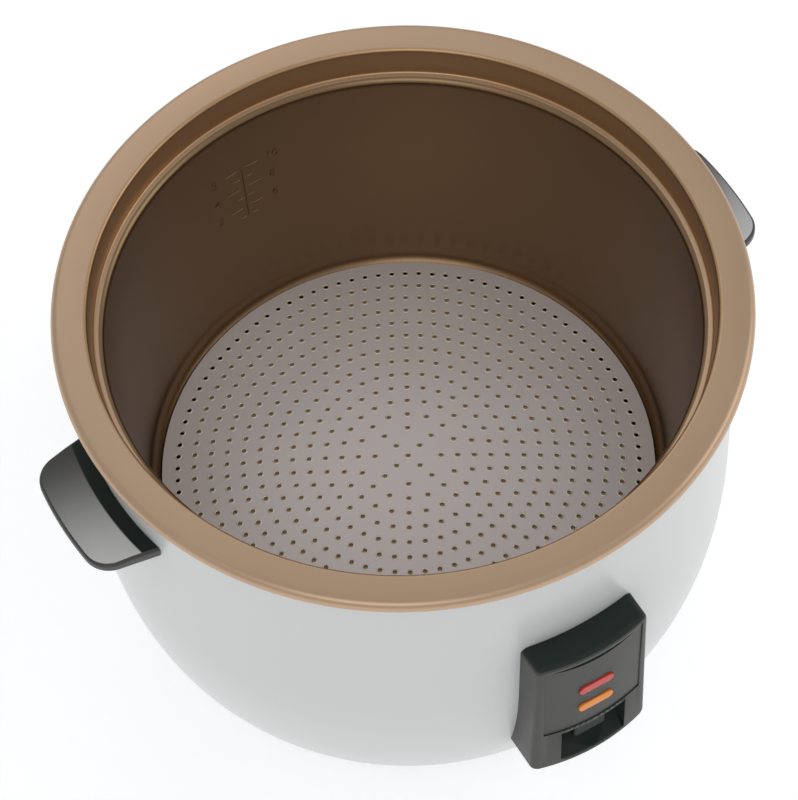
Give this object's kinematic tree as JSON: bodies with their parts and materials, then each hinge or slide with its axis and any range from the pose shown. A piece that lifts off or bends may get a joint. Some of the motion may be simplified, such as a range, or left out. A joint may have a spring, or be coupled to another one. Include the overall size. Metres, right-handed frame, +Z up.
{
  "type": "electric rice cooker",
  "caption": "Large round electric rice cooker with a lift-out pot, perforated plate, side handles and a control panel with lamps and a lever switch",
  "frame": {"origin": "on the floor, under the middle of the overall box, on the pot's axis", "axes": "+Z up, -Y out of the control panel, X along the line through both handles"},
  "size_m": [0.405, 0.3802, 0.2532],
  "materials": {
    "pot_aluminium": "warm anodised satin",
    "plate_aluminium": "matt",
    "white_enamel": "satin",
    "bare_sheet": "plain sheet",
    "black_plastic": "fine grain",
    "facia_plastic": "satin",
    "red_lens": "clear red",
    "amber_lens": "clear amber",
    "lamp_glass": "clear",
    "foot_rubber": "matt",
    "zinc_steel": "zinc plated",
    "spring_steel": "drawn wire",
    "cast_aluminium": "as cast, top turned",
    "element_steel": "heat tinted",
    "sensor_aluminium": "satin",
    "ferrite": "matt",
    "switch_plastic": "plain",
    "plunger_plastic": "plain",
    "stat_metal": "plain",
    "contact_brass": "plain"
  },
  "bodies": {
    "base": {"outer_casing": "white_enamel", "inner_liner": "bare_sheet", "base_plate": "bare_sheet", "thermostat_bridge": "bare_sheet", "thermostat_sleeve": "bare_sheet", "lever_bracket": "bare_sheet", "handle_left": "black_plastic", "handle_right": "black_plastic", "panel_housing": "black_plastic", "inlet_housing": "black_plastic", "panel_facia": "facia_plastic", "cook_lamp_lens": "red_lens", "warm_lamp_lens": "amber_lens", "neon_lamps": "lamp_glass", "rubber_feet": "foot_rubber", "base_screws": "zinc_steel", "handle_screws": "zinc_steel", "panel_screws": "zinc_steel", "inlet_screws": "zinc_steel", "lever_pivot_pin": "zinc_steel", "heater_posts": "zinc_steel", "earth_screw": "zinc_steel", "heater_plate": "cast_aluminium", "heating_element": "element_steel", "micro_switch": "switch_plastic", "terminal_block": "switch_plastic", "warm_thermostat": "stat_metal", "thermal_fuse": "stat_metal", "inlet_pins": "contact_brass"},
    "pot": {"inner_pot": "pot_aluminium"},
    "plate": {"perforated_plate": "plate_aluminium"},
    "switch": {"switch_key": "facia_plastic", "switch_lever": "bare_sheet"},
    "plunger": {"switch_plunger": "plunger_plastic"},
    "magnet": {"pull_magnet": "ferrite", "pull_rod": "zinc_steel", "rod_spring": "spring_steel"},
    "sensor": {"sensor_cap": "sensor_aluminium", "soft_ferrite": "ferrite", "sensor_spring": "spring_steel"}
  },
  "joints": [
    {"name": "pot_lift", "type": "slide", "parent": "base", "child": "pot", "axis": [0, 0, 1], "range_m": [0, 0.2]},
    {"name": "plate_lift", "type": "slide", "parent": "pot", "child": "plate", "axis": [0, 0, 1], "range_m": [0, 0.18]},
    {"name": "cook_switch", "type": "hinge", "parent": "base", "child": "switch", "pos_m": [0, -0.095, 0.046], "axis": [1, 0, 0], "range_deg": [0, 3.5], "stiffness_Nm_per_rad": 1.5, "springref_deg": -5.73},
    {"name": "magnet_slide", "type": "slide", "parent": "base", "child": "magnet", "axis": [0, 0, 1], "range_m": [0, 0.0059], "deforming": ["rod_spring"]},
    {"name": "plunger_slide", "type": "slide", "parent": "base", "child": "plunger", "axis": [0, 0, 1], "range_m": [0, 0.0016]},
    {"name": "sensor_slide", "type": "slide", "parent": "base", "child": "sensor", "axis": [0, 0, 1], "range_m": [-0.001, 0], "stiffness_N_per_m": 400, "springref_m": 0.004, "deforming": ["sensor_spring"]}
  ],
  "couplings": [
    {"joint": "magnet_slide", "follows": "cook_switch", "m_per_rad": 0.095},
    {"joint": "plunger_slide", "follows": "cook_switch", "m_per_rad": 0.025}
  ]
}
